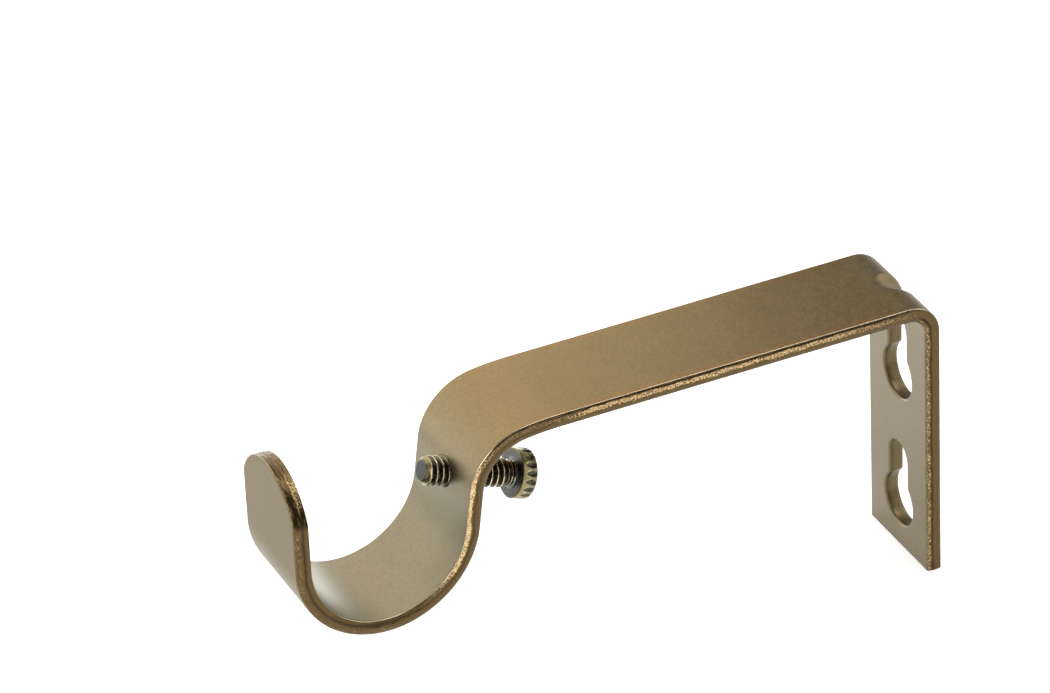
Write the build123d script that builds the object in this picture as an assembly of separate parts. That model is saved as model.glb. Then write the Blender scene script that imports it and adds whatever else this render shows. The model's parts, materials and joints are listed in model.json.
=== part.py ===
# Curtain pole bracket: a flat bar bent into a wall plate, an arm and a pole cup, with a thumb screw.
# The wall face is y = 0 and the wall is on the +y side. The arm reaches towards -y, z is up, and x runs
# along the pole. The origin is the middle of the wall face. Sizes are in millimetres, turns in degrees.
import os
from math import cos, radians, sin

from build123d import *

# flat bar
bar_width = 19.05
bar_thickness = 2.5
wall_side_edge_chamfer = 0.2
room_side_edge_radius = 0.6

# wall plate and the corner above it
plate_height = 49.8
corner_inside_radius = 2.8

# arm, the bend that turns it down and the short straight below the bend
arm_straight = 60.25
easing_inside_radius = 41.75
easing_turn = 8.0
bend_inside_radius = 8.5
bend_turn = 74.0
drop_straight = 5.9

# pole cup: a wider back, a tighter front and an upright lip with a round end
cup_back_inside_radius = 13.7
cup_back_turn = 70.0
cup_front_inside_radius = 12.4
lip_straight = 16.0
lip_top_above_arm = 0.25
lip_end_radius = 9.85

# keyholes through the wall plate
keyhole_pitch = 24.0
lower_keyhole_above_bottom = 8.35
keyhole_diameter = 8.8
keyhole_slot_width = 5.5
keyhole_slot_rise = 8.1
keyhole_throat_radius = 0.8
keyhole_rim_chamfer = 0.35

# stiffening dent pressed into the outside of the corner
dent_leg = 5.4
dent_radius = 2.75
dent_wall = 2.1
dent_blend_radius = 0.6

# thumb screw
screw_tilt = 19.5
screw_hole_below_bend = 1.05
screw_hole_diameter = 4.8
screw_tip_reach = 5.15
screw_length = 15.9
screw_diameter = 4.7
screw_tip_chamfer = 0.75
head_diameter = 7.9
head_height = 2.65
head_back_chamfer = 0.4
head_underside_chamfer = 0.15
scallop_count = 18
scallop_start = -6.7
scallop_radius = 0.55
scallop_depth = 0.36

plate_bottom = -plate_height / 2
arm_top = plate_height / 2
half_thickness = bar_thickness / 2
through = 4 * bar_thickness


def straight_on(edge, length):
    return Line(edge @ 1, edge @ 1 + (edge % 1) * length)


def bend_on(edge, radius, turn):
    return JernArc(edge @ 1, edge % 1, radius, turn)


def bent_line(side):
    # One face of the bar seen from its edge, in y and z: +1 is the room face, -1 is the wall face.
    left_bend_extra = half_thickness * (1 - side)
    right_bend_extra = half_thickness * (1 + side)
    corner_start = arm_top - corner_inside_radius - bar_thickness
    cup_front_turn = 90 + easing_turn + bend_turn - cup_back_turn
    plate = Line((-right_bend_extra, plate_bottom), (-right_bend_extra, corner_start))
    corner = bend_on(plate, corner_inside_radius + left_bend_extra, 90)
    arm = straight_on(corner, arm_straight)
    easing = bend_on(arm, easing_inside_radius + left_bend_extra, easing_turn)
    bend = bend_on(easing, bend_inside_radius + left_bend_extra, bend_turn)
    drop = straight_on(bend, drop_straight)
    cup_back = bend_on(drop, cup_back_inside_radius + right_bend_extra, -cup_back_turn)
    cup_front = bend_on(cup_back, cup_front_inside_radius + right_bend_extra, -cup_front_turn)
    lip = straight_on(cup_front, lip_straight)
    return {
        "plate": plate,
        "corner": corner,
        "arm": arm,
        "easing": easing,
        "bend": bend,
        "drop": drop,
        "cup_back": cup_back,
        "cup_front": cup_front,
        "lip": lip,
    }


def edges_along(body, line):
    # Edges whose middle lies on one face of the bar, apart from the cut end at the bottom of the plate.
    wire = Plane.YZ * Wire(list(line.values()))
    found = []
    for edge in body.edges():
        middle = edge @ 0.5
        on_face = wire.distance_to(Vertex(0, middle.Y, middle.Z)) < 0.01
        if on_face and middle.Z > plate_bottom + 0.01:
            found.append(edge)
    return found


def round_faces(body, radius):
    return body.faces().filter_by(GeomType.CYLINDER).filter_by(lambda face: abs(face.radius - radius) < 0.001)


# bar bent to shape, with square edges
room_line = bent_line(1)
wall_line = bent_line(-1)
plate_end = Line(room_line["plate"] @ 0, wall_line["plate"] @ 0)
lip_end = Line(room_line["lip"] @ 1, wall_line["lip"] @ 1)
bar_side = make_face([*room_line.values(), *wall_line.values(), plate_end, lip_end])
strap = extrude(Plane.YZ * bar_side, bar_width / 2, both=True)

# round end of the lip
lip_top = arm_top + lip_top_above_arm
lip_y = (room_line["lip"] @ 0).X + half_thickness
lip_blank = Pos(0, lip_top) * Rectangle(2 * bar_width, 2 * lip_end_radius)
lip_round = Pos(0, lip_top - lip_end_radius) * Circle(lip_end_radius)
lip_waste = extrude(Plane.XZ * (lip_blank - lip_round), through / 2, both=True)
strap -= Pos(0, lip_y, 0) * lip_waste

# long edges and the lip end, rolled over on the room side and only broken on the wall side
strap = fillet(edges_along(strap, room_line), room_side_edge_radius)
strap = chamfer(edges_along(strap, wall_line), wall_side_edge_chamfer)

# dent across the outside of the corner, and the rib it raises on the inside
dent_middle = (0, -dent_leg / 2, arm_top - dent_leg / 2)
dent_axis = Plane(dent_middle, x_dir=(1, 0, 0), z_dir=(0, 1, -1)) * Pos(0, -dent_radius, 0)
dent_reach = 4 * dent_leg
rib_radius = dent_radius + dent_wall
rib_inset = 0.8 * bar_thickness
rib_room = Box(bar_width, dent_reach, dent_reach, align=(Align.CENTER, Align.MAX, Align.MAX))
rib = dent_axis * Cylinder(rib_radius, dent_reach)
strap += rib & Pos(0, -rib_inset, arm_top - rib_inset) * rib_room
strap -= dent_axis * Cylinder(dent_radius, dent_reach)
strap = fillet(round_faces(strap, dent_radius).edges(), dent_blend_radius)
strap = fillet(round_faces(strap, rib_radius).edges(), dent_blend_radius)

# keyholes, wide end down, with a broken rim on the room face
keyhole_shape = Circle(keyhole_diameter / 2)
keyhole_shape += Pos(0, keyhole_slot_rise / 2) * Rectangle(keyhole_slot_width, keyhole_slot_rise)
keyhole_shape += Pos(0, keyhole_slot_rise) * Circle(keyhole_slot_width / 2)
throat = keyhole_shape.vertices().filter_by(lambda corner: 0 < corner.Y < keyhole_diameter / 2)
keyhole_shape = fillet(throat, keyhole_throat_radius)
lower_keyhole = plate_bottom + lower_keyhole_above_bottom
for height in (lower_keyhole, lower_keyhole + keyhole_pitch):
    strap -= extrude(Plane.XZ * Pos(0, height) * keyhole_shape, through, both=True)
room_face = strap.faces().filter_by(Axis.Y).sort_by_distance((0, -bar_thickness, 0))[0]
rims = [edge for wire in room_face.inner_wires() for edge in wire.edges()]
strap = chamfer(rims, keyhole_rim_chamfer)

# thumb screw hole through the drop behind the cup
drop_top = (room_line["drop"] @ 0 + wall_line["drop"] @ 0) / 2
hole_middle = drop_top + (room_line["drop"] % 0) * screw_hole_below_bend
head_way = Vector(0, cos(radians(screw_tilt)), -sin(radians(screw_tilt)))
hole_plane = Plane((0, hole_middle.X, hole_middle.Y), x_dir=(1, 0, 0), z_dir=head_way)
strap -= hole_plane * Cylinder(screw_hole_diameter / 2, through)

# thumb screw: chamfered shank, then the head with scallops round its rim
on_end = (Align.CENTER, Align.CENTER, Align.MIN)
screw = Cylinder(screw_diameter / 2, screw_length, align=on_end)
screw = chamfer(screw.edges().group_by(Axis.Z)[0], screw_tip_chamfer)
head = Cylinder(head_diameter / 2, head_height, align=on_end)
head = chamfer(head.edges().group_by(Axis.Z)[-1], head_back_chamfer)
head = chamfer(head.edges().group_by(Axis.Z)[0], head_underside_chamfer)
scallop_ring = head_diameter / 2 - scallop_depth + scallop_radius
head -= PolarLocations(scallop_ring, scallop_count, scallop_start) * Cylinder(scallop_radius, through)
screw += Pos(0, 0, screw_length) * head
screw = hole_plane * Pos(0, 0, -screw_tip_reach) * screw

os.makedirs("parts", exist_ok=True)
export_step(strap, "parts/bracket_strap.step")
export_step(screw, "parts/thumb_screw.step")
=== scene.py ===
import json

import bmesh
import bpy
import numpy as np
from mathutils import Matrix, Vector


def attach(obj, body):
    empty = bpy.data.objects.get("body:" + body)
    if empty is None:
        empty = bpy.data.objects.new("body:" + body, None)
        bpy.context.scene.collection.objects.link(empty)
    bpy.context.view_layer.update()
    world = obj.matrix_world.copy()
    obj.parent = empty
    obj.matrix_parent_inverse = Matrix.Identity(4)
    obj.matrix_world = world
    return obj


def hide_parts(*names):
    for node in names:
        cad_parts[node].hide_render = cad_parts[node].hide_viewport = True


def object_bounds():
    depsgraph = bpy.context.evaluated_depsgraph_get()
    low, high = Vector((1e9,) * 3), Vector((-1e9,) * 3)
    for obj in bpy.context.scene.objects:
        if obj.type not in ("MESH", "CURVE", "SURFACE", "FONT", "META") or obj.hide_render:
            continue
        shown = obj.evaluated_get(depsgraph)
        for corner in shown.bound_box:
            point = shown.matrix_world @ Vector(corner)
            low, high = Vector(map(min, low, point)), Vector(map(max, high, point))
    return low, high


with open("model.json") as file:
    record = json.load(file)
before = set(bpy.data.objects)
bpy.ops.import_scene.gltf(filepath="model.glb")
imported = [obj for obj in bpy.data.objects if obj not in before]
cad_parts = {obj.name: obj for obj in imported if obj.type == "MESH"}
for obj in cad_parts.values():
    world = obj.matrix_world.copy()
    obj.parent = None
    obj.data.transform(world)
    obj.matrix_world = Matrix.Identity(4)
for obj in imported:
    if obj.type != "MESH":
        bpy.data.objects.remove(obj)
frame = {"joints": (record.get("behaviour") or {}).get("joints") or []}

mm = 0.001
weldReach = 0.002  # in mm: closer points become one
tiny = 1e-6  # keeps a comparison or a division safe
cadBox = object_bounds()
print("frame loaded")


# Meshes from grids

def quadsOf(rows, columns, first):
    # four corners of each cell of a grid of points, counted from the first point's number
    index = np.arange(rows * columns).reshape(rows, columns) + first
    corners = [index[:-1, :-1], index[:-1, 1:], index[1:, 1:], index[1:, :-1]]
    return np.stack(corners, axis=-1).reshape(-1, 4)


def closedRound(values):
    # repeats a grid's first column as its last, which the weld then joins
    return np.concatenate([values, values[:, :1]], axis=1)


def pieceFromPatches(name, patches, body, node):
    # each patch is a grid of points in mm with its marks, values at the points that the materials read
    points, faces, first = [], [], 0
    for patch in patches:
        rows, columns = patch["points"].shape[:2]
        faces.append(quadsOf(rows, columns, first))
        points.append(patch["points"].reshape(-1, 3))
        first += rows * columns
    mesh = bpy.data.meshes.new(name)
    mesh.from_pydata((np.concatenate(points) * mm).tolist(), [], np.concatenate(faces).tolist())
    for key in patches[0]["marks"]:
        values = np.concatenate([patch["marks"][key].reshape(-1) for patch in patches])
        wide = key == "surfaceAt"
        layer = mesh.attributes.new(key, "FLOAT_VECTOR" if wide else "FLOAT", "POINT")
        layer.data.foreach_set("vector" if wide else "value", values.astype(np.float32))
    weld = bmesh.new()
    weld.from_mesh(mesh)
    bmesh.ops.remove_doubles(weld, verts=weld.verts, dist=weldReach * mm)
    bmesh.ops.recalc_face_normals(weld, faces=weld.faces)
    for face in weld.faces:
        face.smooth = True
    openEdges = sum(1 for edge in weld.edges if not edge.is_manifold)
    volume = weld.calc_volume() / mm ** 3
    print(name, "faces", len(weld.faces), "open edges", openEdges, "volume", round(volume))
    weld.to_mesh(mesh)
    weld.free()
    piece = bpy.data.objects.new(name, mesh)
    bpy.context.scene.collection.objects.link(piece)
    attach(piece, body)
    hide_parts(node)
    return piece


def smoothStep(low, high, value):
    # 0 up to low, 1 from high on, and an even S between them
    share = np.clip((value - low) / (high - low), 0, 1)
    return share * share * (3 - 2 * share)


def riseAndFall(low, full, still, gone, value):
    # 0 up to low, 1 from full to still, and 0 again from gone on
    return smoothStep(low, full, value) * (1 - smoothStep(still, gone, value))


def evenRows(low, high, step):
    # even places from low to high, about a step apart
    return np.linspace(low, high, int(round((high - low) / step)) + 1)


def quarterTurn(count):
    # even turns from 0 to a right angle
    return np.linspace(0, np.pi / 2, count)


# Flat bar bent into the wall plate, arm, pole cup and lip; sizes in mm, turns in degrees

bar = {
    "width": 19.05,
    "thickness": 2.5,
    "bottom": -24.9,
    "armTop": 24.9,
    # length of a straight or middle radius of a bend, and its turn towards the room face
    "plate": (44.5, 0),
    "corner": (4.05, 90),
    "arm": (60.25, 0),
    "easing": (43.0, 8),
    "bend": (9.75, 74),
    "drop": (5.9, 0),
    "cupBack": (14.95, -70),
    "cupFront": (13.65, -102),
    "lip": (15.25, 0),
    "lipEndRadius": 9.85,
    # how far a rolled edge falls back from the bar's side, and how deep it reaches from the face
    "wallRoll": (0.3, 0.6),
    "roomRoll": (0.6, 1.1),
    "cutCorner": 0.18,  # round corner of the plainly cut ends
    "faceMargin": 0.15,  # from the end of the rolled edge to the first column of a face
    "keyholes": (8.35, 32.35),  # middles of the round ends, above the bottom
    "keyholeRadius": 4.4,
    "slotHalfWidth": 2.75,
    "slotRise": 8.1,  # from the round end's middle to that of the slot's top
    "slotSoftness": 0.3,  # how gently the slot runs into the round end
    "eyeRise": 3.2,  # from the round end's middle to a point that lies in both it and the slot
    "rimRadius": 0.5,
    "wallRimRadius": 0.12,
    # how much wider the hole breaks out at the wall face, and shares of that at depths inside it
    "breakOut": 0.14,
    "breakShares": (0.8, 0.3, 0, 0),
    "breakDepths": (-0.7, -0.2, 0.1, 0.45),
    "holeShade": 0.35,  # how deep in a hole its own colour is full
    "screwHoleRadius": 2.4,
    "screwHoleBelowBend": 1.05,
    "screwHoleRim": 0.18,
    "screwHoleDepths": (-0.5, 0, 0.5),
    "dentLeg": 5.4,
    "dentRadius": 2.75,
    "dentWall": 2.1,
    "dentBlend": 1.1,
    # share of its radius up to which the dent's side is round, and its slope past that
    "dentArc": 0.9,
    "dentSlope": 2.065,
    # the grid: counts of columns and rows, steps between rows, and where its stretches meet
    "columns": 56,
    "lowRows": 53,
    "lipRows": 29,
    "wallRollRows": 8,
    "roomRollRows": 11,
    "wallRimRows": 5,
    "roomRimRows": 8,
    "screwRimRows": 4,
    "edgeStep": 0.08,
    "cornerStep": 0.32,
    "armStep": 0.45,
    "rowStep": 0.42,
    "cellSplit": 22.4,
    "cornerReach": (0.1, 5.0),
    "screwCellHalf": 4.6,
}
halfWidth = bar["width"] / 2
halfThick = bar["thickness"] / 2
runNames = ("plate", "corner", "arm", "easing", "bend", "drop", "cupBack", "cupFront", "lip")


def middleLine():
    # start, heading and bend rate of each run of the bar's middle line, in y and z
    starts, places, headings, rates = [0.0], [(-halfThick, bar["bottom"])], [np.pi / 2], []
    for name in runNames:
        size, turn = bar[name]
        turn = np.radians(turn)
        length = size * abs(turn) if turn else size
        chord = length * np.sinc(turn / 2 / np.pi)
        way = headings[-1] + turn / 2
        places.append((places[-1][0] + chord * np.cos(way), places[-1][1] + chord * np.sin(way)))
        starts.append(starts[-1] + length)
        headings.append(headings[-1] + turn)
        rates.append(turn / length)
    return np.array(starts), np.array(places), np.array(headings), np.array(rates)


runStarts, runPlaces, runHeadings, runRates = middleLine()
runAt = dict(zip(runNames, runStarts))
barEnd = runStarts[-1]
lipCentre = barEnd - bar["lipEndRadius"]


def barPoint(across, along, depth):
    # a point of the bar: go along the middle line by straights and arcs, then depth to its room side;
    # the corner is pressed in along a groove whose bottom cuts it at 45 degrees
    across, along, depth = np.broadcast_arrays(across, along, depth)
    run = np.clip(np.searchsorted(runStarts, along, "right") - 1, 0, len(runRates) - 1)
    past = along - runStarts[run]
    turned = runRates[run] * past
    chord = past * np.sinc(turned / 2 / np.pi)
    heading = runHeadings[run]
    y = runPlaces[run, 0] + chord * np.cos(heading + turned / 2) - depth * np.sin(heading + turned)
    z = runPlaces[run, 1] + chord * np.sin(heading + turned / 2) + depth * np.cos(heading + turned)
    share = (depth + halfThick) / bar["thickness"]
    radius = bar["dentRadius"] + bar["dentWall"] * share
    side = np.minimum(np.abs(across), bar["dentArc"] * radius)
    fall = radius - np.sqrt(radius ** 2 - side ** 2) + bar["dentSlope"] * (np.abs(across) - side)
    over = (y + z - bar["armTop"] + bar["dentLeg"]) / np.sqrt(2) + bar["dentWall"] * share - fall
    blend = bar["dentBlend"]
    press = np.where(over > blend, over, np.clip(over + blend, 0, None) ** 2 / (4 * blend))
    press = press * (along < runAt["easing"])
    return np.stack([across, y - press / np.sqrt(2), z - press / np.sqrt(2)], axis=-1)


def lipTurns(inset):
    # even turns round the lip's end, from one shoulder to the other
    radius = bar["lipEndRadius"] - inset
    return np.linspace(-1, 1, bar["columns"] + 1) * np.arcsin((halfWidth - inset) / radius)


def columnsAt(inset):
    # places across the bar: the end's radius times the sines of those turns
    return (bar["lipEndRadius"] - inset) * np.sin(lipTurns(inset))


def lipEndAt(inset):
    # places along the bar of the lip's round end: the same with their cosines
    return lipCentre + (bar["lipEndRadius"] - inset) * np.cos(lipTurns(inset))


# stretches along the bar: the keyhole cells, the corner, arm and bend, the screw hole's cell, cup, lip
cellSplit = bar["cellSplit"]
plateEnd = runAt["corner"] - bar["cornerReach"][0]
cornerEnd = runAt["arm"] + bar["cornerReach"][1]
holeAlong = runAt["drop"] + bar["screwHoleBelowBend"]
screwCell = (holeAlong - bar["screwCellHalf"], holeAlong + bar["screwCellHalf"])
armRows = np.concatenate([
    evenRows(plateEnd, cornerEnd, bar["cornerStep"]),
    evenRows(cornerEnd, runAt["easing"], bar["armStep"])[1:],
    evenRows(runAt["easing"], screwCell[0], bar["rowStep"])[1:],
])
cupRows = evenRows(screwCell[1], runAt["lip"], bar["rowStep"])
screwRows = evenRows(*screwCell, bar["rowStep"])
highRows = evenRows(cellSplit, plateEnd, bar["rowStep"])
lowShares = np.linspace(0, 1, bar["lowRows"])
lipShares = np.linspace(0, 1, bar["lipRows"])


def lowRows(inset):
    # rows of the lower keyhole's cell, from an inset above the bar's bottom
    return inset + lowShares * (cellSplit - inset)


def sideRows(inset):
    # places along the bar's side at an inset from its edge, from the plate's bottom to the lip's shoulder
    lipRows = runAt["lip"] + lipShares * (lipEndAt(inset)[0] - runAt["lip"])
    later = [rows[1:] for rows in (highRows, armRows, screwRows, cupRows, lipRows)]
    return np.concatenate([lowRows(inset), *later])


# marks the strap's material reads: the cut edge, its torn band with painted glints, its tear line with
# painted shade, its polished wall corner with a painted highlight, and the hole walls
barMarks = ("cutEdge", "tornAndGlint", "tearAndShade", "polishAndHighlight", "inHole")


def barPatch(across, along, depth, **values):
    # a grid on the bar; marks that aren't given are 0
    across, along, depth = np.broadcast_arrays(across, along, depth)
    marks = {"surfaceAt": np.stack([across, along, depth], axis=-1)}
    for key in barMarks:
        marks[key] = np.broadcast_to(values.get(key, 0.0), across.shape)
    return {"points": barPoint(across, along, depth), "marks": marks}


def rollAt(depth):
    # fall of the rolled sides: a quarter ellipse next to each face
    wallFall, wallReach = bar["wallRoll"]
    roomFall, roomReach = bar["roomRoll"]
    low = np.clip((wallReach - halfThick - depth) / wallReach, 0, 1)
    high = np.clip((depth - halfThick + roomReach) / roomReach, 0, 1)
    return wallFall * (1 - np.sqrt(1 - low ** 2)) + roomFall * (1 - np.sqrt(1 - high ** 2))


def cutAt(depth):
    # fall of the plainly cut ends: a small round corner next to each face
    past = np.clip((np.abs(depth) - halfThick + bar["cutCorner"]) / bar["cutCorner"], 0, 1)
    return bar["cutCorner"] * (1 - np.sqrt(1 - past ** 2))


def faceInset(side):
    # from the bar's side to the first column of its wall face, which is side -1, or room face, side 1
    return (bar["wallRoll"] if side < 0 else bar["roomRoll"])[0] + bar["faceMargin"]


def edgeDepths():
    # depths of the edge's rows: spread by a quarter circle on both rolled corners and even in between
    wallReach, roomReach = bar["wallRoll"][1], bar["roomRoll"][1]
    wallPart = -halfThick + wallReach * (1 - np.cos(quarterTurn(bar["wallRollRows"])))
    middlePart = evenRows(wallReach - halfThick, halfThick - roomReach, bar["edgeStep"])[1:-1]
    roomPart = halfThick - roomReach * (1 - np.sin(quarterTurn(bar["roomRollRows"])))
    return np.concatenate([wallPart, middlePart, roomPart])


def softNoise(shape, seed, alongPasses, deepPasses):
    # normal random numbers blurred along the outline and from face to face
    values = np.random.default_rng(seed).normal(0, 1, shape)
    for step in range(alongPasses):
        values = np.roll(values, 1, 1) + values + np.roll(values, -1, 1)
    for step in range(deepPasses):
        values = values + np.roll(values, 1, 0)
    return values / values.std()


# the sheared edge; four depths say where a mark rises, is full, begins to fall and is gone
shear = {
    "roughDepths": (-1.24, -1.0, 0.7, 1.2),
    "polishDepths": (-1.25, -1.24, -1.2, -1.12),
    "cutDepths": (-1.25, -1.2, 1.0, 1.25),
    "stray": 0.04,  # how far the torn band and the tear line wander
    "bandFade": (0.4, 1.1),  # shares of the band's reach between which it fades
    "bandPatches": 0.1,
    "grooveDepth": 0.06,
    "chip": 0.03,
    "chipPatches": 0.8,
    "chipLift": 0.6,
    "endChips": 1.6,  # how much deeper the cut ends are chipped
    "deepest": 0.14,  # chips and groove together
    # the cut ends: turns from the lip's middle in radians, depths, and strengths of the marks
    "facetTurns": (0.92, 1.08),
    "lipSideTurns": (0.35, 0.6),
    "wallHalf": (-0.25, 0.2),
    "roomCornerHighlight": (1.0, 1.16),
    "bottomFacet": 0.4,
    "endTornAndGlint": (0.1, 0.1, 0.4),  # all over, added in the wall half, and added there down the lip's sides
    # a painted highlight along the ends' room corner, and painted shade on the lip's shoulder facets and
    # towards the room face
    "cornerHighlight": 0.9,
    "facetShade": 0.35,
    "roomShade": 0.3,
    # how the sides change along the bar: torn band with painted glints, tear line with painted shade, and
    # polished wall corner with a painted highlight
    "columns": (
        "along", "bandDepth", "bandReach", "bandStrength",
        "tearDepth", "tearReach", "tearShadeStrength", "polishAndHighlight",
    ),
    "stops": (
        (44, 0.85, 0.42, 0.5, 0.35, 0.14, 0.9, 0.3),  # the plate's upper end, and the same all down it
        (48, 0.8, 0.42, 0.34, 0.4, 0.24, 1.0, 0.5),  # corner
        (50, 0.0, 0.5, 0.3, 0.4, 0.24, 0.2, 0.7),
        (50.5, -0.15, 0.52, 0.33, -1.0, 0.12, 0.0, 0.75),
        (54, -0.35, 0.6, 0.45, -1.0, 0.12, 0.9, 0.9),  # arm
        (68, -0.35, 0.62, 0.68, -1.0, 0.12, 0.95, 1.0),
        (106, -0.35, 0.62, 0.7, -1.0, 0.13, 0.8, 1.0),
        (114, -0.45, 0.5, 0.34, 0.1, 0.2, 0.35, 1.0),  # bend
        (122, -0.6, 0.5, 0.34, 0.05, 0.15, 0.45, 0.9),
        (128, -0.95, 0.65, 0.88, -0.08, 0.13, 0.65, 0.85),  # drop
        (143, -0.95, 0.6, 0.85, -0.1, 0.13, 0.65, 0.85),  # cup
        (149, -1.1, 0.45, 0.4, -0.3, 0.25, 0.35, 0.85),
        (152, -1.1, 0.4, 0.12, -0.5, 0.3, 0.6, 0.85),
        (155, 0.5, 0.4, 0.12, -0.6, 0.35, 0.8, 0.8),
        (158, 0.5, 0.45, 0.3, -0.65, 0.35, 0.85, 0.8),
        (168, 0.6, 0.5, 0.15, -0.25, 0.3, 0.65, 0.4),
        (176, 0.7, 0.5, 0.3, -0.2, 0.2, 0.75, 0.3),  # lip
    ),
}


def shearAt(key, along):
    # straight lines between the stops
    stops = np.array(shear["stops"])
    return np.interp(along, stops[:, 0], stops[:, shear["columns"].index(key)])


def edgeGrid():
    # the edge's profile carried round the bar's outline: up one side, round the lip, down, and along the
    # bottom; the sides are rolled, the ends are cut plain and lose what the roll has already taken
    middle = edgeDepths()
    depth = np.concatenate([[-halfThick], middle, [halfThick]])
    sideFall = np.concatenate([[faceInset(-1)], rollAt(middle), [faceInset(1)]])
    endFall = np.concatenate([[faceInset(-1)], cutAt(middle), [faceInset(1)]])
    across, along = [], []
    for sideStep, endStep in zip(sideFall, endFall):
        rows = sideRows(sideStep)
        side = np.full(len(rows), halfWidth - sideStep)
        ends = np.clip(columnsAt(endStep)[1:-1], -side[0], side[0])
        across.append(np.concatenate([side, ends[::-1], -side, ends]))
        lipArc = lipEndAt(endStep)[-2:0:-1]
        along.append(np.concatenate([rows, lipArc, rows[::-1], np.full(len(ends), endStep)]))
    across, along = closedRound(np.array(across)), closedRound(np.array(along))
    onSide = np.abs(across) > halfWidth - sideFall[:, None] - tiny
    return across, along, depth[:, None], onSide


def sideMarks(along, deep, wander, patchy):
    # a torn band with painted glints that fades with the distance from its depth, and a tear line of
    # painted shade, a bell curve over depth
    offBand = np.abs(deep - shearAt("bandDepth", along) - shear["stray"] * wander)
    fromBand = offBand / shearAt("bandReach", along)
    band = 1 - smoothStep(*shear["bandFade"], fromBand + shear["bandPatches"] * patchy)
    offTear = deep - shearAt("tearDepth", along) - shear["stray"] * (wander + patchy)
    fromTear = offTear / shearAt("tearReach", along)
    return shearAt("bandStrength", along) * band, shearAt("tearShadeStrength", along) * np.exp(-fromTear ** 2)


def endMarks(along, deep, turned):
    # torn with painted glints towards the wall face and more so down the lip's sides, painted shade towards
    # the room face and a painted highlight along its corner, and a smooth patch at each shoulder of the lip
    # painted dark as a shaded facet
    lipShadedFacet = smoothStep(*shear["facetTurns"], np.abs(turned))
    shadedFacet = np.where(along > lipCentre, lipShadedFacet, shear["bottomFacet"])
    wallHalf = 1 - smoothStep(*shear["wallHalf"], deep)
    roomCornerHighlight = smoothStep(*shear["roomCornerHighlight"], deep)
    lowDown = smoothStep(*shear["lipSideTurns"], np.abs(turned))
    allOver, wallMore, lowMore = shear["endTornAndGlint"]
    tornAndGlint = (1 - shadedFacet) * (allOver + (wallMore + lowMore * lowDown) * wallHalf)
    tearAndShade = np.maximum(shear["facetShade"] * shadedFacet, shear["roomShade"] * (1 - wallHalf))
    return np.maximum(tornAndGlint, shear["cornerHighlight"] * roomCornerHighlight), tearAndShade * (1 - roomCornerHighlight)


def edgeBand():
    # the edge's grid with its marks, pulled in by random chips and by a groove along the tear line
    across, along, deep, onSide = edgeGrid()
    turned = np.arctan2(across, along - lipCentre)
    wander = softNoise((1, across.shape[1]), seed=5, alongPasses=3, deepPasses=0)
    patchy = softNoise(across.shape, seed=12, alongPasses=1, deepPasses=10)
    rough = riseAndFall(*shear["roughDepths"], deep)
    sideTornAndGlint, sideTearAndShade = sideMarks(along, deep, wander, patchy)
    sideTearAndShade = sideTearAndShade * rough
    endTornAndGlint, endTearAndShade = endMarks(along, deep, turned)
    # the torn band with painted glints, the tear line with painted shade, and the polished corner with a
    # painted highlight
    marks = {
        "cutEdge": riseAndFall(*shear["cutDepths"], deep),
        "tornAndGlint": np.where(onSide, sideTornAndGlint, endTornAndGlint),
        "tearAndShade": np.where(onSide, sideTearAndShade, endTearAndShade),
        "polishAndHighlight": shearAt("polishAndHighlight", along) * riseAndFall(*shear["polishDepths"], deep) * onSide,
    }
    chips = softNoise(across.shape, seed=11, alongPasses=0, deepPasses=6)
    chips = np.clip(chips + shear["chipPatches"] * patchy + shear["chipLift"], 0, None)
    chipped = shear["chip"] * rough * chips * np.where(onSide, 1, shear["endChips"])
    pull = np.minimum(shear["grooveDepth"] * sideTearAndShade * onSide + chipped, shear["deepest"])
    pull[:, -1] = pull[:, 0]
    onLipEnd = (along > lipCentre) & ~onSide
    moveAcross = np.where(onSide, np.sign(across), np.where(onLipEnd, np.sin(turned), 0))
    moveAlong = np.where(onLipEnd, np.cos(turned), np.where(onSide, 0, -1))
    return barPatch(across - pull * moveAcross, along - pull * moveAlong, deep, **marks)


def plainFace(side, rows):
    # straight rows across one face
    return barPatch(columnsAt(faceInset(side))[None, :], rows[:, None], side * halfThick)


def lipFace(side):
    # rows spread from the lip's start up to its round end
    inset = faceInset(side)
    along = runAt["lip"] + lipShares[:, None] * (lipEndAt(inset)[None, :] - runAt["lip"])
    return barPatch(columnsAt(inset)[None, :], along, side * halfThick)


def cellOutline(inset, rows):
    # places round a cell of the bar's face, up its right side, across, down and back
    columns = columnsAt(inset)
    right, count = columns[-1], len(rows) - 1
    across = np.concatenate([np.full(count, right), columns[:0:-1], np.full(count, -right), columns[:-1]])
    low, high = np.full(len(columns) - 1, rows[0]), np.full(len(columns) - 1, rows[-1])
    along = np.concatenate([rows[:-1], high, rows[:0:-1], low])
    return np.stack([across, along], axis=-1)


# shares of the way from a hole's rim out to its cell's outline, closer together near the rim
faceShares = np.array([1.0, 0.72, 0.46, 0.26, 0.13, 0.05])[:, None, None]


def holePatch(wallCell, roomCell, throat, depth):
    # the wall face's cell drawn in to the hole, through it, and out to the room face's cell
    wallFace = faceShares * wallCell + (1 - faceShares) * throat[0]
    roomFace = faceShares[::-1] * roomCell + (1 - faceShares[::-1]) * throat[-1]
    flat = np.concatenate([wallFace, throat, roomFace])
    count = len(faceShares)
    depth = np.concatenate([np.full(count, -halfThick), depth, np.full(count, halfThick)])[:, None]
    inHole = smoothStep(0.0, bar["holeShade"], halfThick - np.abs(depth))
    return barPatch(closedRound(flat[..., 0]), closedRound(flat[..., 1]), depth, inHole=inHole)


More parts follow.
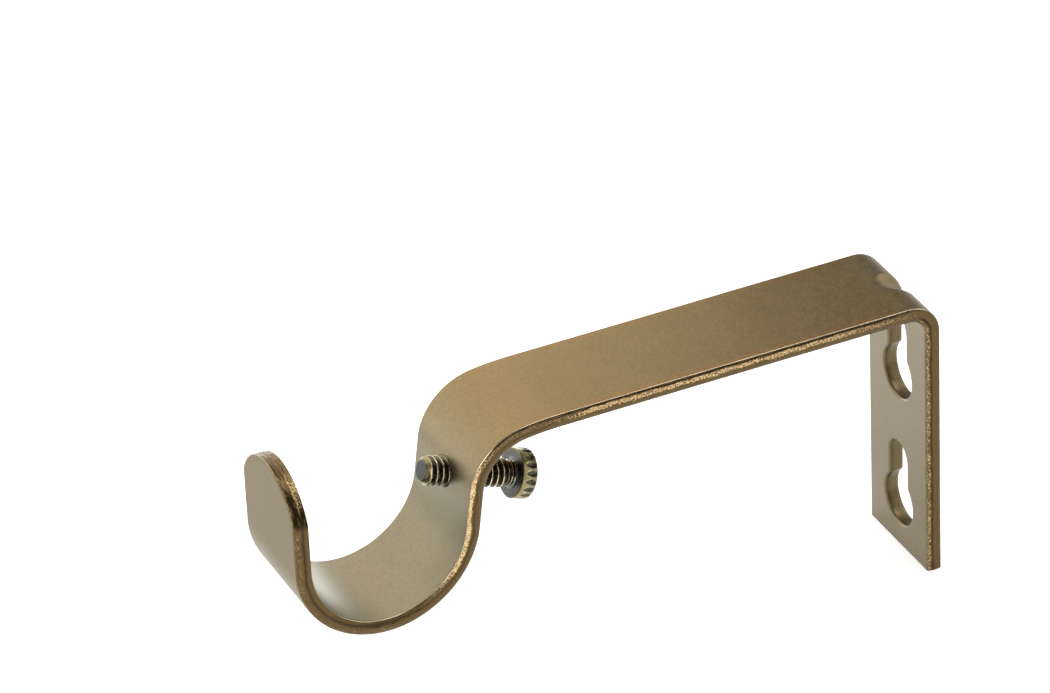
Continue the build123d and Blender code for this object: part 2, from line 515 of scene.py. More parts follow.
def keyholeReach(ray):
    # the further one of a round hole and a slot with a round top along each ray from a point that both hold
    eyeRise, halfSlot = bar["eyeRise"], bar["slotHalfWidth"]
    toRound = eyeRise * ray[:, 1]
    roundReach = np.sqrt(toRound ** 2 - eyeRise ** 2 + bar["keyholeRadius"] ** 2) - toRound
    endRise = bar["slotRise"] - eyeRise
    toEnd = endRise * ray[:, 1]
    endReach = toEnd + np.sqrt(np.clip(toEnd ** 2 - endRise ** 2 + halfSlot ** 2, 0, None))
    wallReach = halfSlot / np.clip(np.abs(ray[:, 0]), tiny, None)
    slotReach = np.where(wallReach * ray[:, 1] < endRise, wallReach, endReach) * (ray[:, 1] > 0)
    gap = roundReach - slotReach
    return (roundReach + slotReach + np.sqrt(gap ** 2 + bar["slotSoftness"] ** 2)) / 2


def keyholeCell(centre, wallRows, roomRows):
    # the keyhole's outline moved square to itself: wide at the wall face, with a small round edge there and
    # a larger one at the room face
    wallCell = cellOutline(faceInset(-1), wallRows)
    roomCell = cellOutline(faceInset(1), roomRows)
    eye = np.array([0, centre + bar["eyeRise"]])
    ray = wallCell + roomCell - 2 * eye
    ray = ray / np.linalg.norm(ray, axis=1, keepdims=True)
    rim = eye + ray * keyholeReach(ray)[:, None]
    tangent = np.roll(rim, -1, 0) - np.roll(rim, 1, 0)
    outward = np.stack([tangent[:, 1], -tangent[:, 0]], axis=-1)
    outward = outward / np.linalg.norm(outward, axis=1, keepdims=True)
    small, large, out = bar["wallRimRadius"], bar["rimRadius"], bar["breakOut"]
    wallTurn, roomTurn = quarterTurn(bar["wallRimRows"]), quarterTurn(bar["roomRimRows"])
    wallGrow = out + small * (1 - np.sin(wallTurn))
    wallDepth = -halfThick + small * (1 - np.cos(wallTurn))
    roomDepth = halfThick - large + large * np.sin(roomTurn)
    grow = np.concatenate([wallGrow, out * np.array(bar["breakShares"]), large * (1 - np.cos(roomTurn))])
    depth = np.concatenate([wallDepth, bar["breakDepths"], roomDepth])
    throat = rim[None] + grow[:, None, None] * outward[None]
    return holePatch(wallCell, roomCell, throat, depth)


# the joint slides the screw towards its tip, so its head lies the other way
slideAxis = np.array(frame["joints"][0]["axis"])
headWay = -slideAxis / np.linalg.norm(slideAxis)
holeCentre = barPoint(0.0, holeAlong, 0.0)


def screwHoleCell():
    # round the tilted hole: at each depth the place along the bar is where its line, dropped square on the
    # screw's axis, lies at the hole's radius times the sine of the turn
    wallCell = cellOutline(faceInset(-1), screwRows)
    roomCell = cellOutline(faceInset(1), screwRows)
    middle = (wallCell + roomCell) / 2
    turn = np.arctan2(middle[:, 1] - holeAlong, middle[:, 0])
    rimTurn, rimRadius = quarterTurn(bar["screwRimRows"]), bar["screwHoleRim"]
    wallGrow = rimRadius * (1 - np.sin(rimTurn))
    wallDepth = -halfThick + rimRadius * (1 - np.cos(rimTurn))
    plainDepth = bar["screwHoleDepths"]
    grow = np.concatenate([wallGrow, np.zeros(len(plainDepth)), wallGrow[::-1]])
    depth = np.concatenate([wallDepth, plainDepth, -wallDepth[::-1]])
    margin, count = 1.0, 400  # close places along the bar, past both ends of the cell
    line = np.linspace(screwCell[0] - margin, screwCell[1] + margin, count)
    square = np.array([headWay[2], -headWay[1]])
    throat = []
    for grown, deep in zip(grow + bar["screwHoleRadius"], depth):
        lean = (barPoint(0.0, line, deep) - holeCentre)[:, 1:] @ square
        along = np.interp(grown * np.sin(turn), lean, line)
        throat.append(np.stack([grown * np.cos(turn), along], axis=-1))
    return holePatch(wallCell, roomCell, np.array(throat), depth)


def makeStrap():
    patches = [edgeBand()]
    for side in (-1, 1):
        patches += [plainFace(side, armRows), plainFace(side, cupRows), lipFace(side)]
    lowHole, highHole = bar["keyholes"]
    patches.append(keyholeCell(lowHole, lowRows(faceInset(-1)), lowRows(faceInset(1))))
    patches.append(keyholeCell(highHole, highRows, highRows))
    patches.append(screwHoleCell())
    return pieceFromPatches("strap_skin", patches, "bracket", "bracket_strap")


strapPiece = makeStrap()


# Thumb screw: a threaded shank and a head with scooped flutes round its rim; sizes in mm

screw = {
    "tipReach": 5.15,  # from the bar's middle to the tip
    "length": 15.9,
    "radius": 2.35,
    "rootRadius": 1.74,
    "pitch": 1.06,
    "threadShift": 0.25,
    # shares of half a pitch that are root and flank, and of the height between which the worn crest begins
    "rootShare": 0.16,
    "flankShare": 0.7,
    "crestShare": (0.88, 1.0),
    "crestFrom": (0.5, 0.8),  # places along the shank
    "tipRadius": 1.6,
    "tipChamfer": 0.75,
    "tipGrey": 0.7,
    # brass on the tip's chamfer and a painted highlight on the rim next to it: four places along, then
    # strengths and radii
    "chamferAlong": (0.05, 0.15, 0.6, 0.8),
    "chamferBrass": 0.5,
    "tipRimAlong": (0.55, 0.7, 0.8, 0.95),
    "tipRimRadius": (1.95, 2.2),
    "tipRimShine": 0.9,
    "threadEnd": (13.7, 15.2),
    "neckRadius": 2.0,
    "rings": (15.15, 15.7),
    "ringHeight": 0.09,
    "ringWidth": 0.13,
    "ringTop": (0.4, 0.9),
    # strength of the painted highlight along the rings' tops
    "ringShine": 0.8,
    "headRadius": 3.95,
    "headHeight": 2.65,
    "undersideEdge": 0.15,
    "backEdge": 0.42,
    "landFrom": (1.2, 0.5),  # in from the rim, as shares of the underside's edge
    "flutes": 18,
    "fluteStart": -6.7,  # degrees
    "fluteFrom": 0.5,  # up the head
    "fluteEnd": 1.2,  # length of its long round end
    "fluteBack": 0.75,  # and of its short one
    "fluteHalfWidth": 0.5,
    "fluteTip": 0.02,
    "fluteDepth": 0.36,
    # shares of a flute's length and of its hollow between which its own colour and a painted highlight
    # along its edge come and go
    "fluteBegin": (0.0, 0.1),
    "scoopEdge": (0.0, 0.25),
    "shineSides": (-1.2, -0.1),
    "shineEnd": (0.3, 0.8),
    # the grid
    "turnSteps": 216,
    "shankRows": 340,
    "rimRows": 20,
    "undersideEdgeRows": 5,
    "backEdgeRows": 8,
    "tipRings": (0.0, 0.5, 1.0, 1.3, 1.5),
    "undersideRings": (2.6, 3.1, 3.5),
    "backRings": (3.2, 2.4, 1.4, 0.5, 0.0),
}


def neckRings(along):
    # two turned rings on the neck, each a bell curve of height 1
    return sum(np.exp(-((along - place) / screw["ringWidth"]) ** 2) for place in screw["rings"])


def neckRadius(along):
    # a plain neck with its rings on it
    return screw["neckRadius"] + screw["ringHeight"] * neckRings(along)


def threadRadius(turn, along):
    # a ramp up and down once in each pitch, clipped to a narrow crest and root, that winds with the turn;
    # it runs out into the ringed neck and into the tip's chamfer
    phase = ((along - screw["threadShift"]) / screw["pitch"] - turn / (2 * np.pi)) % 1
    ramp = np.clip((1 - np.abs(2 * phase - 1) - screw["rootShare"]) / screw["flankShare"], 0, 1)
    runOut = 1 - smoothStep(*screw["threadEnd"], along)
    neck = neckRadius(along)
    root = neck + (screw["rootRadius"] - neck) * runOut
    crest = neck + (screw["radius"] - neck) * runOut
    radius = root + (crest - root) * ramp
    cone = screw["tipRadius"] + (screw["radius"] - screw["tipRadius"]) * along / screw["tipChamfer"]
    bright = smoothStep(*screw["crestShare"], ramp) * runOut * smoothStep(*screw["crestFrom"], along)
    # a painted highlight along the tops of the neck's rings, past the thread's run-out
    ringHighlight = screw["ringShine"] * smoothStep(*screw["ringTop"], neckRings(along)) * (1 - runOut)
    return np.minimum(radius, cone), np.maximum(bright, ringHighlight), 1 - runOut


def screwPoint(turn, radius, along):
    # polar place round the screw's axis, from its tip towards its head
    right = np.array([1.0, 0.0, 0.0])
    up = np.cross(headWay, right)
    tip = holeCentre - headWay * screw["tipReach"]
    turn, radius, along = np.broadcast_arrays(turn, radius, along)
    flat = (radius * np.cos(turn))[..., None] * right + (radius * np.sin(turn))[..., None] * up
    return tip + flat + along[..., None] * headWay


screwMarks = ("crest", "land", "scoop", "plain", "shank")


def screwPatch(turn, radius, along, **values):
    # a grid round the screw; marks that aren't given are 0
    turn, radius, along = np.broadcast_arrays(turn, radius, along)
    marks = {"surfaceAt": np.stack([radius * np.cos(turn), radius * np.sin(turn), along], axis=-1)}
    for key in screwMarks:
        marks[key] = np.broadcast_to(values.get(key, 0.0), turn.shape)
    return {"points": screwPoint(turn, radius, along), "marks": marks}


def tipPatch(turn):
    # a flat disc, from its middle out
    radii = np.array([*screw["tipRings"], screw["tipRadius"]])[:, None]
    return screwPatch(turn, radii, 0.0, plain=1.0, shank=screw["tipGrey"])


def shankPatch(turn):
    # thread and neck, with the marks of the tip's chamfer and a painted highlight on the rim next to it
    along = np.linspace(0, screw["length"], screw["shankRows"])[:, None]
    radius, crest, neck = threadRadius(turn, along)
    brass = screw["chamferBrass"] * riseAndFall(*screw["chamferAlong"], along)
    tipRimHighlight = screw["tipRimShine"] * riseAndFall(*screw["tipRimAlong"], along)
    crest = np.maximum(crest, tipRimHighlight * smoothStep(*screw["tipRimRadius"], radius))
    return screwPatch(turn, radius, along, crest=crest, land=brass, plain=neck, shank=1.0)


def headProfile():
    # radius and rise of the underside, a small round edge, the rim, a large round edge and the back
    low, top, high, wide = (screw[key] for key in ("undersideEdge", "backEdge", "headHeight", "headRadius"))
    lowTurn = quarterTurn(screw["undersideEdgeRows"])
    topTurn = quarterTurn(screw["backEdgeRows"])[::-1]
    under = np.array([neckRadius(screw["length"]), *screw["undersideRings"]])
    rim = np.linspace(low, high - top, screw["rimRows"] + 2)[1:-1]
    back = np.array(screw["backRings"])
    lowRadii, lowRise = wide - low * (1 - np.sin(lowTurn)), low * (1 - np.cos(lowTurn))
    topRadii, topRise = wide - top * (1 - np.sin(topTurn)), high - top * (1 - np.cos(topTurn))
    radii = np.concatenate([under, lowRadii, np.full(len(rim), wide), topRadii, back])
    rise = np.concatenate([np.zeros(len(under)), lowRise, rim, topRise, np.full(len(back), high)])
    return radii[:, None], rise[:, None]


def headPatch(turn):
    # scoops with a long round end towards the underside and a short one at the back, a parabola across
    radii, rise = headProfile()
    low, wide = screw["undersideEdge"], screw["headRadius"]
    spacing = 2 * np.pi / screw["flutes"]
    around = wide * ((turn - np.radians(screw["fluteStart"]) + spacing / 2) % spacing - spacing / 2)
    share = np.clip((rise - screw["fluteFrom"]) / screw["fluteEnd"], 0, 1)
    atBack = np.clip((rise - screw["fluteFrom"] - screw["fluteEnd"]) / screw["fluteBack"], 0, 1)
    swell = (1 - (1 - share) ** 2) * (1 - atBack ** 2)
    lens = 1 - (around / np.clip(screw["fluteHalfWidth"] * np.sqrt(swell), screw["fluteTip"], None)) ** 2
    inner, outer = screw["landFrom"]
    land = smoothStep(wide - inner * low, wide - outer * low, radii)
    begun = smoothStep(*screw["fluteBegin"], share)
    scoop = smoothStep(*screw["scoopEdge"], lens) * begun
    # a painted highlight along each flute's edge, on the land beside it, fading towards the head's back
    bright = smoothStep(*screw["shineSides"], lens) * begun * (1 - smoothStep(*screw["shineEnd"], share))
    radii = radii - screw["fluteDepth"] * (np.clip(lens, 0, None) * swell)
    along = screw["length"] + rise
    return screwPatch(turn, radii, along, crest=bright, land=land, scoop=scoop, plain=1.0)


def makeScrew():
    turn = np.linspace(0, 2 * np.pi, screw["turnSteps"] + 1)[None, :]
    patches = [tipPatch(turn), shankPatch(turn), headPatch(turn)]
    return pieceFromPatches("thumb_screw_skin", patches, "screw", "thumb_screw")


screwPiece = makeScrew()


# Materials

def screenColour(red, green, blue):
    # a screen colour of 0 to 255 as the linear colour that shows as it
    share = np.array([red, green, blue]) / 255
    linear = np.where(share <= 0.04045, share / 12.92, ((share + 0.055) / 1.055) ** 2.4)
    return (*linear.tolist(), 1.0)


def addNode(tree, kind, **settings):
    node = tree.nodes.new(kind)
    for key, value in settings.items():
        setattr(node, key, value)
    return node


def plug(tree, value, socket):
    # a link where the value is a socket, and otherwise the socket's own value
    if isinstance(value, (int, float, tuple)):
        socket.default_value = value  # numpy's single numbers count as floats
    else:
        tree.links.new(value, socket)


def noiseAt(tree, vector, scale, detail, roughness=0.5):
    node = addNode(tree, "ShaderNodeTexNoise")
    for key, value in (("Vector", vector), ("Scale", scale), ("Detail", detail), ("Roughness", roughness)):
        plug(tree, value, node.inputs[key])
    return node.outputs["Fac"]


def cellsAt(tree, vector, scale):
    node = addNode(tree, "ShaderNodeTexVoronoi")
    plug(tree, vector, node.inputs["Vector"])
    plug(tree, scale, node.inputs["Scale"])
    return node


def ranged(tree, value, low, high, newLow, newHigh, smooth=False):
    node = addNode(tree, "ShaderNodeMapRange", interpolation_type="SMOOTHSTEP" if smooth else "LINEAR")
    keys = ("Value", "From Min", "From Max", "To Min", "To Max")
    for key, number in zip(keys, (value, low, high, newLow, newHigh)):
        plug(tree, number, node.inputs[key])
    return node.outputs["Result"]


def maths(tree, operation, first, second):
    node = addNode(tree, "ShaderNodeMath", operation=operation)
    plug(tree, first, node.inputs[0])
    plug(tree, second, node.inputs[1])
    return node.outputs["Value"]


def movedTo(tree, value, target, share):
    # value + (target - value) * share
    gap = maths(tree, "MULTIPLY", maths(tree, "SUBTRACT", target, value), share)
    return maths(tree, "ADD", value, gap)


def mixed(tree, share, first, second, blend="MIX"):
    # a Mix node's colours are its inputs 6 and 7 and its output 2
    node = addNode(tree, "ShaderNodeMix", data_type="RGBA", blend_type=blend)
    plug(tree, share, node.inputs[0])
    plug(tree, first, node.inputs[6])
    plug(tree, second, node.inputs[7])
    return node.outputs[2]


def rampAt(tree, share, colours):
    # colours at their places along the bar, blended in between
    node = addNode(tree, "ShaderNodeValToRGB")
    stops = node.color_ramp.elements
    while len(stops) < len(colours):
        stops.new(1.0)
    for stop, (along, colour) in zip(stops, colours):
        stop.position = along / barEnd
        stop.color = colour
    plug(tree, share, node.inputs["Fac"])
    return node.outputs["Color"]


def greyOf(tree, value):
    node = addNode(tree, "ShaderNodeCombineColor")
    for key in ("Red", "Green", "Blue"):
        plug(tree, value, node.inputs[key])
    return node.outputs["Color"]


def partsOf(tree, vector):
    node = addNode(tree, "ShaderNodeSeparateXYZ")
    plug(tree, vector, node.inputs["Vector"])
    return [node.outputs[key] for key in ("X", "Y", "Z")]


fineGrain = {
    "detail": 3.0,
    "flakeScale": 0.8,  # times the grain's own scale
    # values of the mask between which colours and roughness change
    "toneRange": (0.25, 0.75),
    "dullRange": (0.2, 0.8),
}


def grainGroup():
    # fine grain of a tumbled metal finish: a mask, the mean of noise and of flakes, and a height for bump
    tree = bpy.data.node_groups.new("fineGrain", "ShaderNodeTree")
    tree.interface.new_socket("Vector", in_out="INPUT", socket_type="NodeSocketVector")
    for key, way in (("Scale", "INPUT"), ("Mask", "OUTPUT"), ("Height", "OUTPUT")):
        tree.interface.new_socket(key, in_out=way, socket_type="NodeSocketFloat")
    given, put = addNode(tree, "NodeGroupInput"), addNode(tree, "NodeGroupOutput")
    vector, scale = given.outputs["Vector"], given.outputs["Scale"]
    fine = noiseAt(tree, vector, scale, fineGrain["detail"])
    flakes = cellsAt(tree, vector, maths(tree, "MULTIPLY", scale, fineGrain["flakeScale"]))
    flakeTone = addNode(tree, "ShaderNodeSeparateColor")
    plug(tree, flakes.outputs["Color"], flakeTone.inputs["Color"])
    both = maths(tree, "ADD", fine, flakeTone.outputs["Red"])
    plug(tree, maths(tree, "MULTIPLY", both, 0.5), put.inputs["Mask"])
    plug(tree, fine, put.inputs["Height"])
    return tree


grain = grainGroup()


def placeGrain(tree, vector, scale):
    node = addNode(tree, "ShaderNodeGroup", node_tree=grain)
    node.inputs["Scale"].default_value = scale
    plug(tree, vector, node.inputs["Vector"])
    return node.outputs["Mask"], node.outputs["Height"]


def newMaterial(name):
    material = bpy.data.materials.new(name)
    material.use_nodes = True
    tree = material.node_tree
    tree.nodes.clear()
    shader = addNode(tree, "ShaderNodeBsdfPrincipled")
    end = addNode(tree, "ShaderNodeOutputMaterial")
    plug(tree, shader.outputs["BSDF"], end.inputs["Surface"])
    return material, tree, shader


def markOf(tree, name, output="Fac"):
    return addNode(tree, "ShaderNodeAttribute", attribute_name=name).outputs[output]


def bumpInto(tree, shader, height, distance):
    bump = addNode(tree, "ShaderNodeBump")
    bump.inputs["Distance"].default_value = distance
    plug(tree, height, bump.inputs["Height"])
    plug(tree, bump.outputs["Normal"], shader.inputs["Normal"])


satin = {
    # places along the bar and its colour: plate, lighter at its foot, golden arm, greyer cup, darker lip;
    # partly painted light
    # painted light in these tones: the plate's foot lighter against the floor's shadow, the arm darker
    # towards the corner as painted shade, the plate and cup greyer as a painted sheen, and the lip darker
    # against the bright floor it mirrors
    "barTonesAndPaintedLight": (
        (1, screenColour(128, 116, 94)),
        (14, screenColour(119, 108, 87)),
        (43, screenColour(119, 108, 87)),
        (55, screenColour(121, 101, 67)),
        (80, screenColour(128, 109, 74)),
        (118, screenColour(122, 103, 68)),
        (133, screenColour(123, 115, 94)),
        (150, screenColour(121, 111, 88)),
        (163, screenColour(120, 107, 81)),
        (177, screenColour(106, 92, 61)),
    ),
    "grainScale": 4.4,
    "grainTone": (0.88, 1.12),
    "cloudNoise": (0.12, 3.0),  # scale and detail
    "cloudRange": (0.3, 0.7),
    "cloudTone": (0.97, 1.03),
    # the warm edges of the arm: from the bar's middle, and along it where they begin and end
    "rimWarmth": (1.12, 0.99, 0.88, 1.0),
    "rimAcross": (7.4, 9.2),
    "rimBegin": (48, 58),
    "rimEnd": (112, 126),
    "pit": screenColour(72, 62, 46),
    "pitScale": 0.14,
    "pitSize": (0.015, 0.035),
    "pitStrength": 0.6,
    "holeBrown": screenColour(106, 92, 66),
    # gold of the torn band and of its painted glints
    "edgeGoldAndGlint": screenColour(232, 200, 146),
    "edgeBrown": screenColour(94, 77, 50),
    # painted shade along the tear line
    "tearAndShade": screenColour(34, 27, 18),
    "tearShadeStrength": 0.9,
    # pale painted highlight of the polished wall corner
    "polishAndHighlight": screenColour(238, 226, 196),
    # speckles of the sheared edge, painted glints, and how tearing adds to them
    "edgeStretch": (1.0, 0.8, 1.0),
    "edgeNoise": (4.2, 3.0, 0.65),  # scale, detail and roughness
    "tornShine": 0.34,
    "shineRange": (0.64, 0.84),
    "tornRange": (0.2, 0.8),
    "goldStrength": (0.5, 1),
    "roughness": (0.37, 0.47),
    "edgeRoughness": 0.27,
    "polishRoughness": 0.16,
    "bump": 0.00009,
    "tornBump": (0, 0.5, 0.2, 1.0),  # values of the torn mark, and shares of the bump there
    "grainBump": 0.08,
}


def satinFace(tree, place, mask):
    # colours along the bar, partly painted light, mottled by grain and by wide clouds
    across, along = partsOf(tree, place)[:2]
    face = rampAt(tree, maths(tree, "DIVIDE", along, barEnd), satin["barTonesAndPaintedLight"])
    cloud = noiseAt(tree, place, *satin["cloudNoise"])
    cloudTone = ranged(tree, cloud, *satin["cloudRange"], *satin["cloudTone"])
    grainTone = ranged(tree, mask, *fineGrain["toneRange"], *satin["grainTone"])
    mottle = maths(tree, "MULTIPLY", grainTone, cloudTone)
    face = mixed(tree, 1.0, face, greyOf(tree, mottle), "MULTIPLY")
    # warmer along the arm's two edges
    warm = ranged(tree, maths(tree, "ABSOLUTE", across, 0.0), *satin["rimAcross"], 0, 1, True)
    warm = maths(tree, "MULTIPLY", warm, ranged(tree, along, *satin["rimBegin"], 0, 1))
    warm = maths(tree, "MULTIPLY", warm, ranged(tree, along, *satin["rimEnd"], 1, 0))
    face = mixed(tree, warm, face, satin["rimWarmth"], "MULTIPLY")
    # a few small dark pits
    pits = cellsAt(tree, place, satin["pitScale"])
    pitted = ranged(tree, pits.outputs["Distance"], *satin["pitSize"], satin["pitStrength"], 0)
    return mixed(tree, pitted, face, satin["pit"])


def satinEdge(tree, place, tornAndGlint, tearAndShade, polishAndHighlight):
    # brown where it is smooth, gold with painted glints where it is torn, painted shade along the tear
    # line, and a pale painted highlight where polished
    stretch = addNode(tree, "ShaderNodeVectorMath", operation="MULTIPLY")
    plug(tree, place, stretch.inputs[0])
    plug(tree, satin["edgeStretch"], stretch.inputs[1])
    sparkle = noiseAt(tree, stretch.outputs["Vector"], *satin["edgeNoise"])
    shine = maths(tree, "ADD", sparkle, maths(tree, "MULTIPLY", tornAndGlint, satin["tornShine"]))
    strength = ranged(tree, tornAndGlint, *satin["tornRange"], *satin["goldStrength"])
    shine = maths(tree, "MULTIPLY", ranged(tree, shine, *satin["shineRange"], 0, 1), strength)
    edge = mixed(tree, shine, satin["edgeBrown"], satin["edgeGoldAndGlint"])
    edge = mixed(tree, maths(tree, "MULTIPLY", tearAndShade, satin["tearShadeStrength"]), edge, satin["tearAndShade"])
    return mixed(tree, polishAndHighlight, edge, satin["polishAndHighlight"]), sparkle


def satinMaterial():
    material, tree, shader = newMaterial("satin_strap_paint")
    place = markOf(tree, "surfaceAt", "Vector")
    cut, tornAndGlint, tearAndShade, polishAndHighlight, hole = (markOf(tree, key) for key in barMarks)
    mask, height = placeGrain(tree, place, satin["grainScale"])
    face = mixed(tree, hole, satinFace(tree, place, mask), satin["holeBrown"])
    edge, sparkle = satinEdge(tree, place, tornAndGlint, tearAndShade, polishAndHighlight)
    plug(tree, mixed(tree, cut, face, edge), shader.inputs["Base Color"])
    dull = ranged(tree, mask, *fineGrain["dullRange"], *satin["roughness"])
    edgeDull = ranged(tree, polishAndHighlight, 0, 1, satin["edgeRoughness"], satin["polishRoughness"])
    plug(tree, movedTo(tree, dull, edgeDull, cut), shader.inputs["Roughness"])
    shader.inputs["Metallic"].default_value = 1.0
    # bump of the torn parts, and a much finer one of the faces' grain
    rough = maths(tree, "MULTIPLY", cut, ranged(tree, tornAndGlint, *satin["tornBump"]))
    rough = maths(tree, "MULTIPLY", rough, maths(tree, "SUBTRACT", 1.0, polishAndHighlight))
    fineHeight = maths(tree, "MULTIPLY", height, satin["grainBump"])
    relief = maths(tree, "ADD", maths(tree, "MULTIPLY", sparkle, rough), fineHeight)
    bumpInto(tree, shader, relief, satin["bump"])
    return material


antique = {
    "valley": screenColour(82, 72, 56),
    "plainGrey": screenColour(88, 88, 84),
    "darkGrey": screenColour(72, 73, 70),
    "brass": screenColour(150, 139, 96),
    "backGrey": screenColour(140, 133, 112),
    "backRange": (0.6, 1.8),  # mm up the head
    # pale of the worn crests, and of the painted highlights on the neck's rings, the tip's rim and the
    # flutes' edges
    "crestPaleAndHighlight": screenColour(222, 213, 182),
    "wear": (0.25, 0.6, 0.5, 1.0),  # values of the grain's mask, and how much crest shows there
    "flute": screenColour(88, 86, 69),
    "grainScale": 5.0,
    "grainTone": (0.84, 1.12),
    "roughness": (0.22, 0.34),
    "neckRoughness": 0.14,
    "rimRoughness": 0.42,
    "bump": 0.000006,
}


def antiqueMaterial():
    material, tree, shader = newMaterial("antique_screw_brass")
    place = markOf(tree, "surfaceAt", "Vector")
    crest, land, scoop, plain, shank = (markOf(tree, key) for key in screwMarks)
    mask, height = placeGrain(tree, place, antique["grainScale"])
    # grey on the head's flat sides, darker on the tip and neck, dark brown in the thread's valleys
    flat = mixed(tree, shank, antique["plainGrey"], antique["darkGrey"])
    colour = mixed(tree, plain, antique["valley"], flat)
    # brass on the chamfer and rim, greyer towards the head's back
    backFrom, backTo = (screw["length"] + rise for rise in antique["backRange"])
    toBack = ranged(tree, partsOf(tree, place)[2], backFrom, backTo, 0, 1)
    colour = mixed(tree, land, colour, mixed(tree, toBack, antique["brass"], antique["backGrey"]))
    # pale where crests are worn and where highlights are painted on the neck's rings, the tip's rim and the
    # flutes' edges; olive in the flutes, and smoked all over
    wornAndHighlight = maths(tree, "MULTIPLY", crest, ranged(tree, mask, *antique["wear"]))
    colour = mixed(tree, wornAndHighlight, colour, antique["crestPaleAndHighlight"])
    colour = mixed(tree, scoop, colour, antique["flute"])
    smoke = greyOf(tree, ranged(tree, mask, *fineGrain["toneRange"], *antique["grainTone"]))
    plug(tree, mixed(tree, 1.0, colour, smoke, "MULTIPLY"), shader.inputs["Base Color"])
    dull = ranged(tree, mask, *fineGrain["dullRange"], *antique["roughness"])
    dull = movedTo(tree, dull, antique["neckRoughness"], maths(tree, "MULTIPLY", plain, shank))
    plug(tree, movedTo(tree, dull, antique["rimRoughness"], land), shader.inputs["Roughness"])
    shader.inputs["Metallic"].default_value = 1.0
    bumpInto(tree, shader, height, antique["bump"])
    return material


strapPiece.data.materials.append(satinMaterial())
screwPiece.data.materials.append(antiqueMaterial())
print("materials made")


# Floor, light and camera; sizes in metres

studio = {
    "floorSize": 8.0,
    "floorTone": 0.9,
    "floorRoughness": 0.9,
    "floorSpecular": 0.1,
    "floorGlow": (0.36, 0.95),  # near the part and far out
    "glowReach": (0.4, 1.4),
    "worldLight": (0.35, 0.5),  # low down and overhead
    "worldHeights": (0.55, 0.95),
    "worldShade": (1.0, 0.4),  # opposite the camera and behind it
    "worldSides": (-0.1, 0.5),
    # place, aim, width, height, brightness and colour of each soft box
    "boxes": {
        "softBox": ((-0.13, -0.118, 0.165), (0.0, -0.074, 0.165), 0.345, 0.345, 1.8, (1.0, 0.99, 0.97)),
        "lowBox": ((-0.10, -0.018, 0.0), (0.0, -0.105, 0.0), 0.06, 0.04, 4.9, (0.74, 0.89, 1.0)),
        "keyBox": ((0.34, -0.62, 0.28), (0.0, -0.06, 0.0), 0.4, 0.4, 3.0, (1.0, 0.98, 0.94)),
        "topBox": ((0.0, 0.2, 0.90), (0.0, -0.05, 0.0), 0.55, 0.55, 3.6, (1.0, 1.0, 1.0)),
        "backBox": ((0.14, 0.6, 0.32), (0.0, -0.07, 0.0), 1.3, 0.5, 1.5, (1.0, 1.0, 1.0)),
    },
}


def makeFloor():
    half = studio["floorSize"] / 2
    level = cadBox[0].z
    corners = [(-half, -half, level), (half, -half, level), (half, half, level), (-half, half, level)]
    mesh = bpy.data.meshes.new("floor")
    mesh.from_pydata(corners, [], [(0, 1, 2, 3)])
    floor = bpy.data.objects.new("floor", mesh)
    bpy.context.scene.collection.objects.link(floor)
    material, tree, shader = newMaterial("floor_white")
    tone = studio["floorTone"]
    shader.inputs["Base Color"].default_value = (tone, tone, tone, 1)
    shader.inputs["Roughness"].default_value = studio["floorRoughness"]
    shader.inputs["Specular IOR Level"].default_value = studio["floorSpecular"]
    # a little glow of its own where it is looked at or mirrored, so that it reads as white, and more of it
    # far out, where the lamps no longer reach
    path = addNode(tree, "ShaderNodeLightPath")
    seen = maths(tree, "MAXIMUM", path.outputs["Is Camera Ray"], path.outputs["Is Glossy Ray"])
    seen = maths(tree, "MAXIMUM", seen, path.outputs["Is Transmission Ray"])
    spot = addNode(tree, "ShaderNodeTexCoord")
    away = addNode(tree, "ShaderNodeVectorMath", operation="LENGTH")
    plug(tree, spot.outputs["Object"], away.inputs[0])
    glow = ranged(tree, away.outputs["Value"], *studio["glowReach"], *studio["floorGlow"], True)
    plug(tree, greyOf(tree, maths(tree, "MULTIPLY", seen, glow)), shader.inputs["Emission Color"])
    shader.inputs["Emission Strength"].default_value = 1.0
    mesh.materials.append(material)


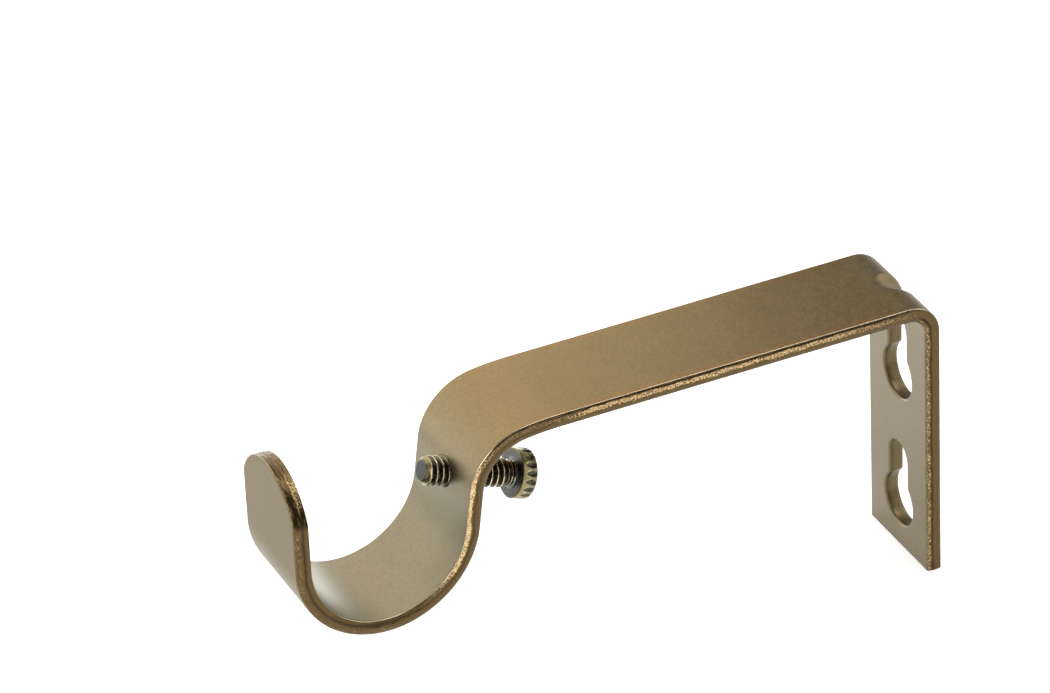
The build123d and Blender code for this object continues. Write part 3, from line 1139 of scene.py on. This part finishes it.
def makeWorld():
    world = bpy.data.worlds.new("studio")
    world.use_nodes = True
    tree = world.node_tree
    ground = tree.nodes["Background"]
    way = addNode(tree, "ShaderNodeTexCoord")
    across, high = partsOf(tree, way.outputs["Generated"])[::2]
    # lighter overhead, and darker behind the camera's side
    level = ranged(tree, high, *studio["worldHeights"], *studio["worldLight"], True)
    side = ranged(tree, across, *studio["worldSides"], *studio["worldShade"], True)
    plug(tree, greyOf(tree, maths(tree, "MULTIPLY", level, side)), ground.inputs["Color"])
    bpy.context.scene.world = world


def addSoftBox(name, at, aim, wide, high, bright, colour):
    # a flat lamp whose power gives its face the brightness that is set: pi times area times brightness
    data = bpy.data.lights.new(name, "AREA")
    data.shape = "RECTANGLE"
    data.size = wide
    data.size_y = high
    data.energy = np.pi * wide * high * bright
    data.color = colour
    lamp = bpy.data.objects.new(name, data)
    lamp.location = at
    lamp.rotation_mode = "QUATERNION"
    lamp.rotation_quaternion = (Vector(aim) - Vector(at)).to_track_quat("-Z", "Y")
    lamp.visible_camera = False
    bpy.context.scene.collection.objects.link(lamp)


photoView = {
    "at": (0.740791, -0.403746, 0.545894),
    "right": (0.43651, 0.898839, -0.039349),
    "forward": (-0.769631, 0.350396, -0.533751),
    "lens": 217.755,
    "sensor": 36.0,
    "clip": (0.05, 50),
}


def makeCamera():
    data = bpy.data.cameras.new("photoCamera")
    data.lens = photoView["lens"]
    data.sensor_width = photoView["sensor"]
    data.clip_start, data.clip_end = photoView["clip"]
    camera = bpy.data.objects.new("photoCamera", data)
    right = Vector(photoView["right"]).normalized()
    back = -Vector(photoView["forward"]).normalized()
    up = back.cross(right)
    turn = Matrix((right, up, back)).transposed().to_4x4()
    camera.matrix_world = Matrix.Translation(photoView["at"]) @ turn
    bpy.context.scene.collection.objects.link(camera)
    bpy.context.scene.camera = camera


makeFloor()
makeWorld()
for boxName, box in studio["boxes"].items():
    addSoftBox(boxName, *box)
makeCamera()
bpy.context.scene.view_settings.view_transform = "Standard"
print("floor, light and camera made")
